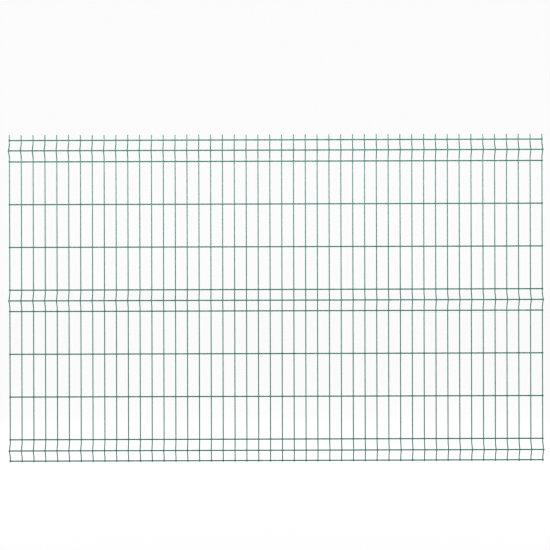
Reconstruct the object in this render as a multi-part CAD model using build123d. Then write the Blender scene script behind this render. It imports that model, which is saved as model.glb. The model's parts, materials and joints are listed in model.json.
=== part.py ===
from build123d import *
import math
import os

# Rigid welded-mesh panel: round upright wires that are pressed into V-folds, and straight
# cross wires welded behind them. Millimetres; +X runs along the panel, +Z is up, and the crests of
# the folds point to -Y. The origin is under the middle of the panel, at the uprights' cut ends.

# Driving dimensions
PANEL_WIDTH = 2500.0      # cut length of a cross wire
UPRIGHT_COUNT = 46        # upright wires, evenly spaced
END_OVERHANG = 5.0        # cross wire that stands out past the axis of the last upright
UPRIGHT_DIAMETER = 4.0
CROSS_DIAMETER = 5.0
FOLD_NAMES = ["bottom", "middle", "top"]  # one V-fold for each name
FOLD_WIRE_SPACING = 50.0  # from the crest wire of a fold to the wire above or below it
MESH_HEIGHT = 200.0       # spacing of the cross wires between two folds
FIELDS_BETWEEN_FOLDS = 3  # meshes of that height between two folds
BOTTOM_STUB = 5.0         # upright below the lowest cross wire's axis
SPIKE_LENGTH = 25.0       # upright above the highest cross wire's axis
FOLD_DEPTH = 25.0         # how far the crest stands forward of the flat stretches, axis to axis
FOLD_LEG_ANGLE = 40.0     # degrees between a fold's leg and the upright direction
BEND_RADIUS = 8.0         # of the upright's axis, at each corner of a fold
WELD_SINK = 0.3           # how far the two wires of a crossing are pressed into each other

# Derived values
upright_radius = UPRIGHT_DIAMETER / 2
cross_radius = CROSS_DIAMETER / 2
upright_pitch = (PANEL_WIDTH - 2 * END_OVERHANG) / (UPRIGHT_COUNT - 1)
fold_height = 2 * FOLD_WIRE_SPACING
field_height = FIELDS_BETWEEN_FOLDS * MESH_HEIGHT
lowest_crest = BOTTOM_STUB + FOLD_WIRE_SPACING
fold_centres = [lowest_crest + fold * (fold_height + field_height) for fold in range(len(FOLD_NAMES))]
panel_height = fold_centres[-1] + FOLD_WIRE_SPACING + SPIKE_LENGTH

# The two wires of a crossing lie this far apart, axis to axis, with the cross wire behind
crossing_offset = upright_radius + cross_radius - WELD_SINK
# The flat stretches stand here so that the panel's whole depth is centred on Y = 0
flat_y = (FOLD_DEPTH + upright_radius - crossing_offset - cross_radius) / 2

# A fold is a V with rounded corners: its sharp corner lies a little in front of the rounded crest
leg_angle = math.radians(FOLD_LEG_ANGLE)
corner_depth = FOLD_DEPTH + BEND_RADIUS * (1 / math.cos(leg_angle) - 1)
fold_half_span = corner_depth / math.tan(leg_angle)


def upright_wire(x):
    """One upright, straight from its cut end to the tip of its spike but for the V-folds."""
    points = [(x, flat_y, 0)]
    for centre in fold_centres:
        points += [
            (x, flat_y, centre - fold_half_span),
            (x, flat_y - corner_depth, centre),
            (x, flat_y, centre + fold_half_span),
        ]
    points.append((x, flat_y, panel_height))
    path = FilletPolyline(*points, radius=BEND_RADIUS)
    section = Plane(path @ 0, z_dir=path % 0) * Circle(upright_radius)
    return sweep(section, path=path)


def cross_wire(z, in_crest=False):
    """One straight cross wire, behind the flat stretches or in the crook of a fold's crest."""
    y = flat_y + crossing_offset - (FOLD_DEPTH if in_crest else 0)
    axis = Plane((-PANEL_WIDTH / 2, y, z), z_dir=(1, 0, 0))
    return extrude(axis * Circle(cross_radius), PANEL_WIDTH)


def uprights():
    """The uprights by node name, numbered from -X to +X."""
    first_x = END_OVERHANG - PANEL_WIDTH / 2
    wires = {}
    for number in range(UPRIGHT_COUNT):
        wires[f"upright_wire_{number + 1:02d}"] = upright_wire(first_x + number * upright_pitch)
    return wires


def fold_wires(fold_name, centre):
    """The three cross wires of one fold: one in the crest and one on each side of it."""
    return {
        f"{fold_name}_fold_lower_wire": cross_wire(centre - FOLD_WIRE_SPACING),
        f"{fold_name}_fold_crest_wire": cross_wire(centre, in_crest=True),
        f"{fold_name}_fold_upper_wire": cross_wire(centre + FOLD_WIRE_SPACING),
    }


def field_wires(field_name, base):
    """The cross wires of the flat field that stands on a fold's upper wire, numbered upwards."""
    wires = {}
    for number in range(1, FIELDS_BETWEEN_FOLDS):
        wires[f"{field_name}_wire_{number}"] = cross_wire(base + number * MESH_HEIGHT)
    return wires


def cross_wires():
    """All cross wires by node name: those of each fold, then those of the fields between folds."""
    wires = {}
    for fold_name, centre in zip(FOLD_NAMES, fold_centres):
        wires |= fold_wires(fold_name, centre)
    for below, above, centre in zip(FOLD_NAMES, FOLD_NAMES[1:], fold_centres):
        wires |= field_wires(f"{below}_to_{above}", centre + FOLD_WIRE_SPACING)
    return wires


os.makedirs("parts", exist_ok=True)
for name, wire in {**uprights(), **cross_wires()}.items():
    wire.label = name
    export_step(wire, f"parts/{name}.step")
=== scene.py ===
"""A rigid welded-mesh fence panel: green coated uprights with V-folds, cross wires and their welds."""

import json
import math
import random
from collections import namedtuple

import bpy
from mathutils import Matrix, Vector


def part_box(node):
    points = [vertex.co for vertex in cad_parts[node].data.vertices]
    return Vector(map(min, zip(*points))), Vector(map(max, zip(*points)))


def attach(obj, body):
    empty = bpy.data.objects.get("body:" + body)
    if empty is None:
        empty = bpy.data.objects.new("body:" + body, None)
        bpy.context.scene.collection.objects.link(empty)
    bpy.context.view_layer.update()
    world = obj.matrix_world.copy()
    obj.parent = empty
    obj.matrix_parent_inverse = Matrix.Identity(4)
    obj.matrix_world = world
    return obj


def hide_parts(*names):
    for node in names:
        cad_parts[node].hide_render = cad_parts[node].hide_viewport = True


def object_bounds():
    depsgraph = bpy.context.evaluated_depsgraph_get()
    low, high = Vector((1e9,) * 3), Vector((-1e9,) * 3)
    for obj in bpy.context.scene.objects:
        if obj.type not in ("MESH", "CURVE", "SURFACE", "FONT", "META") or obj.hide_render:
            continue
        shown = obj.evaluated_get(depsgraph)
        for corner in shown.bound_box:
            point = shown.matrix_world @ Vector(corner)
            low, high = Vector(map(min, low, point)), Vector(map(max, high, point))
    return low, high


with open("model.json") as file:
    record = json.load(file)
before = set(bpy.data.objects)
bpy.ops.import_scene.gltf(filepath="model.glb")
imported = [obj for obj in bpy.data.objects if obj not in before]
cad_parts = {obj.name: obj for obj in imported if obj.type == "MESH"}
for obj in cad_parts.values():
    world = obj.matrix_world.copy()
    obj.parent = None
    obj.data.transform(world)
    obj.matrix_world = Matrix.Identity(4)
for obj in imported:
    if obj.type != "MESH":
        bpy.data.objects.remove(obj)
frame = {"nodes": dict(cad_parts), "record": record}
cad_low, cad_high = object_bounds()
mounts = {mount["name"]: mount for mount in frame["record"]["mounts"]}

MM = 0.001
BODY = "root"
draw = random.Random(7)

# Wires. Their places and the cross wires' radius come from the frame.
UPRIGHTS = sorted(name for name in frame["nodes"] if name.startswith("upright_wire"))
CROSS_WIRES = sorted(name for name in frame["nodes"] if not name.startswith("upright_wire"))
UPRIGHT_RADIUS = mounts["post_clip_left_middle"]["dims"]["r_mm"] * MM
BEND_RADIUS = 8 * MM       # of an upright's axis, at each corner of a fold
FOLD_LEG_ANGLE = math.radians(40)

# Wire meshes
SIDES = 24
BEND_STEPS = 7             # steps of the arc at a leg's foot, and a crest has twice as many
RING_SPACING = 30 * MM     # longest step between two rings
END_STEPS = 4
END_ROUNDING = 0.45 * MM   # the coat rounds off the rim of a cut end
END_DOME = 0.15 * MM       # and stands this much higher in its middle
END_DOME_INNER = 0.3       # share of that drop which is reached halfway to the rim
END_SLANT = 0.05           # slope of a cut that the shear left out of square, at most
END_SLANT_LEAST = 0.2      # and at least, as a share of that
UPRIGHT_STRIPS = 11        # strips that a wire's skin is cut into on its texture map
CROSS_STRIPS = 13
STRIP_MARGIN = 0.04        # gap beside a strip, as a share of the strip's width

# Weld beads
WELD_SIDES = 16
WELD_PROFILE = 5           # points across a bead's face, from the upright to the cross wire
WELD_OPENING = (0.65 * MM, 1.1 * MM)  # gap between the two skins where the bead ends
WELD_BULGE = (-0.1, 0.35)  # how far the bead's face swells, as a share of that gap
WELD_SKEW = 0.12 * MM      # how far a bead may sit off the crossing
WELD_LOBES = 0.03          # how uneven a bead's outline is, as a share of the gap
WELD_SUNK = 0.04 * MM      # how deep a bead's edges lie under the skins that it joins
WELD_INNER = 0.35          # where a bead's hidden inner edge lies, as a share of its reach
WELD_SEARCH_STEP = 0.05 * MM

# Coat colours
COAT_DARK = (0.02, 0.12, 0.085, 1)
COAT_LIGHT = (0.04, 0.19, 0.14, 1)
COAT_COOL = (0.03, 0.145, 0.175, 1)
COAT_RUBBED = (0.07, 0.28, 0.23, 1)
DUST = (0.42, 0.43, 0.38, 1)
BARE_STEEL = (0.16, 0.17, 0.16, 1)
MOST_COOL = 0.38           # most that the coat turns to the cooler green
MOST_RUBBED = 0.7          # and to the rubbed one
MOST_DUST = 0.3            # and to dust
DUST_FACING = (0.55, 0.95)  # upward part of the normal where dust begins, and where it is full

# Where the coat wears. The first distance is where the wear is full, the second where it ends.
RUBBED_DEPTH = (0.2 * MM, 1.6 * MM)    # behind the foremost line of the crests
BARE_UPRIGHT_END = (0.2 * MM, 1.1 * MM)
BARE_CROSS_END = (0.1 * MM, 0.9 * MM)

# Coat texture: changes a metre
TONE_DRIFT = (17, 40, 2.5)  # along X, Y and Z
HUE_DRIFT = (4, 25, 9)
SHEEN_SCALE = 45
DUST_SCALE = 75
SCUFF_SCALE = 190
MOTTLE_SCALE = 380
PEEL_SCALE = 640
CHIP_SCALE = 900
GRAIN_SCALE = 2600
GRAIN_SHARE = 0.12         # height of the fine grain beside that of the orange peel
BUMP_HEIGHT = 0.12 * MM
BUMP_STRENGTH = 0.9

# Stage
BACKGROUND = 0.98          # radiance of the studio at eye level
OVERHEAD = 0.12
OVERHEAD_RISE = (0.2, 0.65)  # upward part of the direction between which it darkens
FLOOR_GREY = (0.1, 0.1, 0.1, 1)
FLOOR_GLOW = 0.945         # makes the floor as bright as the background, so that no horizon shows
FLOOR_REACH = 400
CONTRAST_GAMMA = 0.65      # keeps wires that are thinner than a pixel dark

# Camera
CAMERA_DISTANCE = 8.3      # from the flat stretches of the panel
CAMERA_LENS = 116.17
CAMERA_X = -0.005
CAMERA_HEIGHT = 0.807
CAMERA_SHIFT = 0.0255
CAMERA_ROLL = math.radians(0.17)
CAMERA_CLIP = 1000         # past the far edge of the floor

Ring = namedtuple("Ring", "centre across along radius slant")
Crossing = namedtuple("Crossing", "centre cross_radius sunk crook")


# ---------------------------------------------------------------- wires

def cross_axis(node):
    """(y, z, radius) of a cross wire."""
    low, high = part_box(node)
    return (low.y + high.y) / 2, (low.z + high.z) / 2, (high.z - low.z) / 2


def bend(corner, before, after):
    """Stations (y, z, angle) on the arc that rounds a corner. An angle leans from +Z towards -Y."""
    turn = after - before
    steps = BEND_STEPS * round(abs(turn) / FOLD_LEG_ANGLE)
    reach = BEND_RADIUS * math.tan(abs(turn) / 2)
    chord = 2 * BEND_RADIUS * math.sin(abs(turn) / steps / 2)
    y = corner[0] + math.sin(before) * reach
    z = corner[1] - math.cos(before) * reach
    stations = [(y, z, before)]
    for step in range(steps):
        middle = before + turn * (step + 0.5) / steps
        y -= math.sin(middle) * chord
        z += math.cos(middle) * chord
        stations.append((y, z, before + turn * (step + 1) / steps))
    return stations


def upright_stations(node):
    """Stations (y, z, angle) along an upright, from its foot to the tip of its spike."""
    low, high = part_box(node)
    flat_y = high.y - UPRIGHT_RADIUS
    crest_y = low.y + UPRIGHT_RADIUS
    corner = flat_y - crest_y + BEND_RADIUS * (1 / math.cos(FOLD_LEG_ANGLE) - 1)
    half_span = corner / math.tan(FOLD_LEG_ANGLE)
    stations = [(flat_y, low.z, 0.0)]
    for crest in sorted(cross_axis(name)[1] for name in CROSS_WIRES if "crest" in name):
        stations += bend((flat_y, crest - half_span), 0.0, FOLD_LEG_ANGLE)
        stations += bend((flat_y - corner, crest), FOLD_LEG_ANGLE, -FOLD_LEG_ANGLE)
        stations += bend((flat_y, crest + half_span), -FOLD_LEG_ANGLE, 0.0)
    stations.append((flat_y, high.z, 0.0))
    return stations


def spaced(path):
    """The same rings, with more between any two that are far apart."""
    rings = [path[0]]
    for ring in path[1:]:
        last = rings[-1]
        steps = math.ceil((ring.centre - last.centre).length / RING_SPACING)
        for step in range(1, steps):
            rings.append(last._replace(centre=last.centre.lerp(ring.centre, step / steps)))
        rings.append(ring)
    return rings


def end_profile(radius):
    """(radius, depth under the tip) of each ring of a cut end, from its middle outwards."""
    rim = radius - END_ROUNDING
    profile = [(rim / 2, END_DOME * END_DOME_INNER)]
    for step in range(END_STEPS + 1):
        angle = math.pi / 2 * step / END_STEPS
        depth = END_DOME + END_ROUNDING * (1 - math.cos(angle))
        profile.append((rim + END_ROUNDING * math.sin(angle), depth))
    return profile


def end_rings(tip, inwards):
    """Rings of a cut end, from its middle to the wire's skin. Inwards is 1 or -1 along the wire."""
    turn = draw.uniform(0, 2 * math.pi)
    slope = draw.uniform(END_SLANT_LEAST, 1) * END_SLANT
    slant = (tip.across * math.cos(turn) + tip.along.cross(tip.across) * math.sin(turn)) * slope
    rings = []
    for radius, depth in end_profile(tip.radius):
        centre = tip.centre + tip.along * (inwards * depth)
        rings.append(tip._replace(centre=centre, radius=radius, slant=slant))
    return rings


def skin_lengths(rings):
    """Distance along the skin of a wire's start point, each of its rings and its end point."""
    lengths = [0.0, rings[0].radius]
    for ring, above in zip(rings, rings[1:]):
        step = (above.centre - ring.centre).length + abs(above.radius - ring.radius)
        lengths.append(lengths[-1] + step)
    lengths.append(lengths[-1] + rings[-1].radius)
    return lengths


def strip_starts(lengths, strips):
    """The length of a strip, and for each gap between two rings its strip's number and start."""
    strip_length = lengths[-1] / strips + RING_SPACING
    starts = []
    number, start = 0, 0.0
    for lower, upper in zip(lengths, lengths[1:]):
        if upper - start > strip_length:
            number, start = number + 1, lower
        starts.append((number, start))
    return strip_length, starts


def wire_faces(rings, strips):
    """Faces of a closed tube, and the place of each of their corners on the texture map, where the
    skin lies as strips side by side."""
    lengths = skin_lengths(rings)
    strip_length, starts = strip_starts(lengths, strips)
    strip_width = 1 / (starts[-1][0] + 1)
    end_point = 1 + len(rings) * SIDES
    faces, places = [], []
    for gap, (number, start) in enumerate(starts):
        low = (lengths[gap] - start) / strip_length
        high = (lengths[gap + 1] - start) / strip_length
        for side in range(SIDES):
            left = (number + STRIP_MARGIN + (1 - 2 * STRIP_MARGIN) * side / SIDES) * strip_width
            right = left + (1 - 2 * STRIP_MARGIN) / SIDES * strip_width
            middle = (left + right) / 2
            upper = 1 + gap * SIDES
            lower = upper - SIDES
            after = (side + 1) % SIDES
            if gap == 0:
                faces.append((0, upper + after, upper + side))
                places += [(middle, low), (right, high), (left, high)]
            elif gap == len(rings):
                faces.append((lower + side, lower + after, end_point))
                places += [(left, low), (right, low), (middle, high)]
            else:
                faces.append((lower + side, lower + after, upper + after, upper + side))
                places += [(left, low), (right, low), (right, high), (left, high)]
    return faces, places


def mesh_piece(name, verts, faces, material, places=None):
    """A smooth-shaded piece that rides on the panel and wears the given material."""
    mesh = bpy.data.meshes.new(name)
    mesh.from_pydata(verts, [], faces)
    if places:
        layer = mesh.uv_layers.new(name="OFBake")
        layer.data.foreach_set("uv", [value for place in places for value in place])
    mesh.shade_smooth()
    mesh.materials.append(material)
    piece = bpy.data.objects.new(name, mesh)
    bpy.context.scene.collection.objects.link(piece)
    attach(piece, BODY)
    return piece


def build_wire(node, path, strips, material):
    """One whole wire as a closed tube with cut ends, in place of its CAD node."""
    start, end = end_rings(path[0], 1), end_rings(path[-1], -1)
    skin = spaced([start[-1]._replace(slant=path[0].slant), *path[1:-1], end[-1]])
    rings = start + skin[1:-1] + end[::-1]
    verts = [path[0].centre]
    for ring in rings:
        beside = ring.along.cross(ring.across)
        for side in range(SIDES):
            angle = 2 * math.pi * side / SIDES
            out = (ring.across * math.cos(angle) + beside * math.sin(angle)) * ring.radius
            verts.append(ring.centre + out + ring.along * out.dot(ring.slant))
    verts.append(path[-1].centre)
    faces, places = wire_faces(rings, strips)
    piece = mesh_piece(node.replace("wire", "coated"), verts, faces, material, places)
    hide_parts(node)


def build_uprights(material):
    for node in UPRIGHTS:
        low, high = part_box(node)
        path = []
        for y, z, angle in upright_stations(node):
            centre = Vector(((low.x + high.x) / 2, y, z))
            across = Vector((0, -math.cos(angle), -math.sin(angle)))
            along = Vector((0, -math.sin(angle), math.cos(angle)))
            path.append(Ring(centre, across, along, UPRIGHT_RADIUS, Vector()))
        build_wire(node, path, UPRIGHT_STRIPS, material)


def build_cross_wires(material):
    across, along = Vector((0, -1, 0)), Vector((1, 0, 0))
    for node in CROSS_WIRES:
        low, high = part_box(node)
        y, z, radius = cross_axis(node)
        path = [Ring(Vector((x, y, z)), across, along, radius, Vector()) for x in (low.x, high.x)]
        build_wire(node, path, CROSS_STRIPS, material)


# ---------------------------------------------------------------- welds

def skins_beside(crossing, reach, angle):
    """Y of the upright's skin and of the cross wire's at a point beside a crossing, both from the
    upright's rearmost line there."""
    x, z = reach * math.cos(angle), reach * math.sin(angle)
    radius = crossing.cross_radius
    upright = crossing.crook * z * z / 2 - UPRIGHT_RADIUS + math.sqrt(max(UPRIGHT_RADIUS**2 - x * x, 0))
    cross = radius - crossing.sunk - math.sqrt(max(radius**2 - z * z, 0))
    return upright, cross


def bead_reach(crossing, angle, opening):
    """How far out the gap between the two skins is as wide as the opening."""
    reach, gap = 0.0, 0.0
    while gap < opening:
        reach += WELD_SEARCH_STEP
        upright, cross = skins_beside(crossing, reach, angle)
        gap = cross - upright
    return reach


def bead(crossing):
    """Vertices and faces of one weld bead: a collar that fills the corner between the two wires."""
    opening = draw.uniform(*WELD_OPENING)
    bulge = draw.uniform(*WELD_BULGE)
    skew = [draw.uniform(-WELD_SKEW, WELD_SKEW) for _ in "xz"]
    lobes = [draw.uniform(0, 2 * math.pi) for _ in range(4)]
    verts = []
    for side in range(WELD_SIDES):
        angle = 2 * math.pi * side / WELD_SIDES
        uneven = sum(math.cos(angle * order + phase) for order, phase in enumerate(lobes, 2))
        wide = opening * (1 + WELD_LOBES * uneven)
        reach = bead_reach(crossing, angle, wide)
        upright, cross = skins_beside(crossing, reach, angle)
        low, high = upright - WELD_SUNK, cross + WELD_SUNK
        profile = []
        for point in range(WELD_PROFILE):
            share = point / (WELD_PROFILE - 1)
            out = reach + bulge * wide * math.sin(math.pi * share)
            profile.append((out, low + (high - low) * share))
        profile.append((reach * WELD_INNER, -crossing.sunk / 2))
        for out, y in profile:
            beside = (out * math.cos(angle) + skew[0], y, out * math.sin(angle) + skew[1])
            verts.append(crossing.centre + Vector(beside))
    rows = WELD_PROFILE + 1
    faces = []
    for side in range(WELD_SIDES):
        here, after = side * rows, (side + 1) % WELD_SIDES * rows
        for row in range(rows):
            above = (row + 1) % rows
            faces.append((here + row, here + above, after + above, after + row))
    return verts, faces


def crossings():
    """Every place where an upright and a cross wire are welded together."""
    for cross in CROSS_WIRES:
        y, z, radius = cross_axis(cross)
        in_crest = "crest" in cross
        crook = 1 / (BEND_RADIUS - UPRIGHT_RADIUS) if in_crest else 0.0
        for upright in UPRIGHTS:
            low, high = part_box(upright)
            rear_y = low.y + 2 * UPRIGHT_RADIUS if in_crest else high.y
            centre = Vector(((low.x + high.x) / 2, rear_y, z))
            yield Crossing(centre, radius, rear_y - (y - radius), crook)


def build_welds(material):
    """All the beads as one piece, so that they take one texture and not one for each."""
    verts, faces = [], []
    for crossing in crossings():
        more_verts, more_faces = bead(crossing)
        faces += [tuple(index + len(verts) for index in face) for face in more_faces]
        verts += more_verts
    mesh_piece("weld_beads", verts, faces, material)


# ---------------------------------------------------------------- materials

def add(tree, kind, inputs, **settings):
    """A node with those settings. Each input is linked to a socket or set to a value."""
    node = tree.nodes.new(kind)
    for name, value in settings.items():
        setattr(node, name, value)
    for name, value in inputs.items():
        if isinstance(value, bpy.types.NodeSocket):
            tree.links.new(value, node.inputs[name])
        else:
            node.inputs[name].default_value = value
    return node


def maths(tree, operation, first, second=0.0):
    return add(tree, "ShaderNodeMath", {0: first, 1: second}, operation=operation).outputs["Value"]


def mix(tree, factor, first, second):
    inputs = {0: factor, 6: first, 7: second}
    return add(tree, "ShaderNodeMix", inputs, data_type="RGBA").outputs[2]


def ramp(tree, value, start, end, low=0.0, high=1.0):
    """The value mapped from start..end to low..high, and held inside them."""
    inputs = {"Value": value, "From Min": start, "From Max": end, "To Min": low, "To Max": high}
    return add(tree, "ShaderNodeMapRange", inputs).outputs["Result"]


def noise(tree, place, scale, detail=2.0, roughness=0.5):
    """A noise value, with features of about 1 / scale metres."""
    inputs = {"Vector": place, "Scale": scale, "Detail": detail, "Roughness": roughness}
    return add(tree, "ShaderNodeTexNoise", inputs).outputs["Fac"]


def axes(tree, vector):
    parts = add(tree, "ShaderNodeSeparateXYZ", {"Vector": vector}).outputs
    return parts["X"], parts["Y"], parts["Z"]


def drift(tree, place, scale):
    """A value that changes slowly along a wire and from one wire to the next."""
    stretched = add(tree, "ShaderNodeMapping", {"Vector": place, "Scale": scale})
    return noise(tree, stretched.outputs["Vector"], 1.0)


def coat_colour(tree, place, shade):
    """The green of the coat: it drifts in tone and hue, and is finely mottled."""
    tone = ramp(tree, drift(tree, place, TONE_DRIFT), 0.3, 0.7, 0.0, 0.7)
    mottle = ramp(tree, noise(tree, place, MOTTLE_SCALE, detail=3), 0.35, 0.65, -0.2, 0.4)
    light = maths(tree, "SUBTRACT", maths(tree, "ADD", tone, mottle), shade)
    cool = ramp(tree, drift(tree, place, HUE_DRIFT), 0.38, 0.62, 0.0, MOST_COOL)
    return mix(tree, cool, mix(tree, light, COAT_DARK, COAT_LIGHT), COAT_COOL)


def cut_ends(tree, place):
    """1 at the wires' cut ends, at all four sides of the panel, and 0 away from them."""
    x, _, z = axes(tree, place)
    full, none = BARE_UPRIGHT_END
    tip = ramp(tree, z, cad_high.z - none, cad_high.z - full)
    foot = ramp(tree, z, full, none, 1.0, 0.0)
    full, none = BARE_CROSS_END
    side = ramp(tree, maths(tree, "ABSOLUTE", x), cad_high.x - none, cad_high.x - full)
    return maths(tree, "MAXIMUM", maths(tree, "MAXIMUM", tip, foot), side)


def coated_steel(name, lumps, shade):
    """Green powder coat on steel wire: orange peel, uneven tone, dust on what faces up, a rubbed
    shine on the folds' crests and bare spots at the cut ends. Lumps is how uneven the skin is, and
    shade how much darker the coat is where it lies thick."""
    material = bpy.data.materials.new(name)
    material.use_nodes = True
    tree = material.node_tree
    tree.nodes.clear()
    place = add(tree, "ShaderNodeTexCoord", {}).outputs["Object"]
    _, depth, _ = axes(tree, place)
    _, _, facing_up = axes(tree, add(tree, "ShaderNodeNewGeometry", {}).outputs["Normal"])

    colour = coat_colour(tree, place, shade)

    full, none = RUBBED_DEPTH
    crest = ramp(tree, depth, cad_low.y + full, cad_low.y + none, 1.0, 0.0)
    scuffs = ramp(tree, noise(tree, place, SCUFF_SCALE, detail=4, roughness=0.7), 0.52, 0.66)
    rubbed = maths(tree, "MULTIPLY", crest, scuffs)
    colour = mix(tree, maths(tree, "MULTIPLY", rubbed, MOST_RUBBED), colour, COAT_RUBBED)

    upper_side = ramp(tree, facing_up, *DUST_FACING)
    patchy = noise(tree, place, DUST_SCALE, detail=5, roughness=0.65)
    patches = ramp(tree, patchy, 0.42, 0.72, 0.0, MOST_DUST)
    dusty = maths(tree, "MULTIPLY", upper_side, patches)
    colour = mix(tree, dusty, colour, DUST)

    chips = ramp(tree, noise(tree, place, CHIP_SCALE), 0.5, 0.62)
    colour = mix(tree, maths(tree, "MULTIPLY", cut_ends(tree, place), chips), colour, BARE_STEEL)

    sheen = ramp(tree, noise(tree, place, SHEEN_SCALE, detail=3), 0.3, 0.7, 0.24, 0.36)
    rough = maths(tree, "ADD", sheen, maths(tree, "MULTIPLY", dusty, 0.8))
    rough = maths(tree, "SUBTRACT", rough, maths(tree, "MULTIPLY", rubbed, 0.1))

    peel = maths(tree, "MULTIPLY", noise(tree, place, PEEL_SCALE, detail=1.5), lumps)
    grain = maths(tree, "MULTIPLY", noise(tree, place, GRAIN_SCALE, detail=1), GRAIN_SHARE)
    relief = {"Height": maths(tree, "ADD", peel, grain)}
    relief |= {"Strength": BUMP_STRENGTH, "Distance": BUMP_HEIGHT}
    bump = add(tree, "ShaderNodeBump", relief)

    looks = {"Base Color": colour, "Roughness": rough, "Normal": bump.outputs["Normal"]}
    shader = add(tree, "ShaderNodeBsdfPrincipled", looks)
    add(tree, "ShaderNodeOutputMaterial", {"Surface": shader.outputs["BSDF"]})
    return material


# ---------------------------------------------------------------- stage

def build_world():
    """A plain studio: even and pale at eye level, and darker overhead."""
    world = bpy.data.worlds.new("studio")
    bpy.context.scene.world = world
    world.use_nodes = True
    tree = world.node_tree
    tree.nodes.clear()
    _, _, up = axes(tree, add(tree, "ShaderNodeTexCoord", {}).outputs["Generated"])
    strength = ramp(tree, up, *OVERHEAD_RISE, BACKGROUND, OVERHEAD)
    light = {"Color": (1, 1, 1, 1), "Strength": strength}
    shader = add(tree, "ShaderNodeBackground", light)
    add(tree, "ShaderNodeOutputWorld", {"Surface": shader.outputs["Background"]})


def build_floor():
    mesh = bpy.data.meshes.new("floor")
    corners = [(-1, -1), (1, -1), (1, 1), (-1, 1)]
    verts = [(x * FLOOR_REACH, y * FLOOR_REACH, 0) for x, y in corners]
    mesh.from_pydata(verts, [], [(0, 1, 2, 3)])
    floor = bpy.data.objects.new("floor", mesh)
    bpy.context.scene.collection.objects.link(floor)
    material = bpy.data.materials.new("pale_floor")
    material.use_nodes = True
    tree = material.node_tree
    tree.nodes.clear()
    looks = {"Base Color": FLOOR_GREY, "Roughness": 1.0, "Specular IOR Level": 0.0}
    glow = {"Emission Color": (1, 1, 1, 1), "Emission Strength": FLOOR_GLOW}
    shader = add(tree, "ShaderNodeBsdfPrincipled", looks | glow)
    add(tree, "ShaderNodeOutputMaterial", {"Surface": shader.outputs["BSDF"]})
    mesh.materials.append(material)


def soft_light(name, place, aim, wide, high, watts):
    data = bpy.data.lights.new(name, "AREA")
    data.shape = "RECTANGLE"
    data.size = wide
    data.size_y = high
    data.energy = watts
    light = bpy.data.objects.new(name, data)
    light.location = place
    light.rotation_euler = (Vector(aim) - Vector(place)).to_track_quat("-Z", "Y").to_euler()
    light.visible_camera = False
    bpy.context.scene.collection.objects.link(light)


def build_lights():
    """A long box light above the camera's view, one at each side, and a weaker one behind."""
    soft_light("strip", place=(0, -2.0, 1.9), aim=(0, 0, 1.6), wide=3.6, high=1.0, watts=70)
    for name, side in (("left", -1), ("right", 1)):
        place, aim = (side * 2.7, -2.0, 1.7), (side * 0.3, 0, 1.4)
        soft_light(name, place, aim, wide=0.6, high=1.0, watts=34)
    soft_light("back", place=(0, 2.4, 2.0), aim=(0, 0, 1.2), wide=3.0, high=0.4, watts=22)


def build_camera():
    flat_y = mounts["foot_left"]["pos_m"][1]
    data = bpy.data.cameras.new("camera")
    data.lens = CAMERA_LENS
    data.shift_y = CAMERA_SHIFT
    data.clip_end = CAMERA_CLIP
    camera = bpy.data.objects.new("camera", data)
    camera.location = (CAMERA_X, flat_y - CAMERA_DISTANCE, CAMERA_HEIGHT)
    camera.rotation_euler = (math.pi / 2, CAMERA_ROLL, 0)
    bpy.context.scene.collection.objects.link(camera)
    bpy.context.scene.camera = camera


coat = coated_steel("green_powder_coat", lumps=1.0, shade=0.0)
weld_coat = coated_steel("green_powder_coat_on_welds", lumps=1.6, shade=0.2)
build_uprights(coat)
build_cross_wires(coat)
build_welds(weld_coat)
build_world()
build_floor()
build_lights()
build_camera()
bpy.context.scene.view_settings.view_transform = "Standard"
bpy.context.scene.view_settings.gamma = CONTRAST_GAMMA
